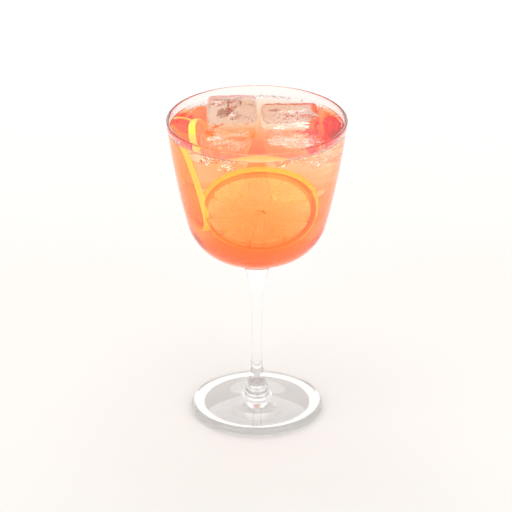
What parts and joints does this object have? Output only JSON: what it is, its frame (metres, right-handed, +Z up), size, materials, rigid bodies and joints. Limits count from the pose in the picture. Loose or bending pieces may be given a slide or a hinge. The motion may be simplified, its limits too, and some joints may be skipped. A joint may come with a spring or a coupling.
{
  "type": "sparkling aperitif cocktail",
  "caption": "Stemmed wine-style cocktail glass filled with an orange-pink sparkling drink, clear ice cubes and a citrus wheel at its surface.",
  "frame": {"origin": "centre of the foot, on the plane that the glass stands on", "axes": "+Z up along the stem, -Y towards the drinker, +X to the right as seen from there"},
  "size_m": [0.094, 0.094, 0.1733],
  "materials": {
    "clear_glass": "clear, polished",
    "drink": "clear orange-pink liquid",
    "ice": "clear ice with fine white cracks",
    "citrus": "wet citrus flesh, pith and rind"
  },
  "bodies": {
    "root": {"glass": "clear_glass", "drink": "drink", "ice_cube_back_left": "ice", "ice_cube_back_right": "ice", "ice_cube_front_left": "ice", "ice_cube_front_right": "ice", "citrus_wheel_left": "citrus"}
  },
  "joints": []
}
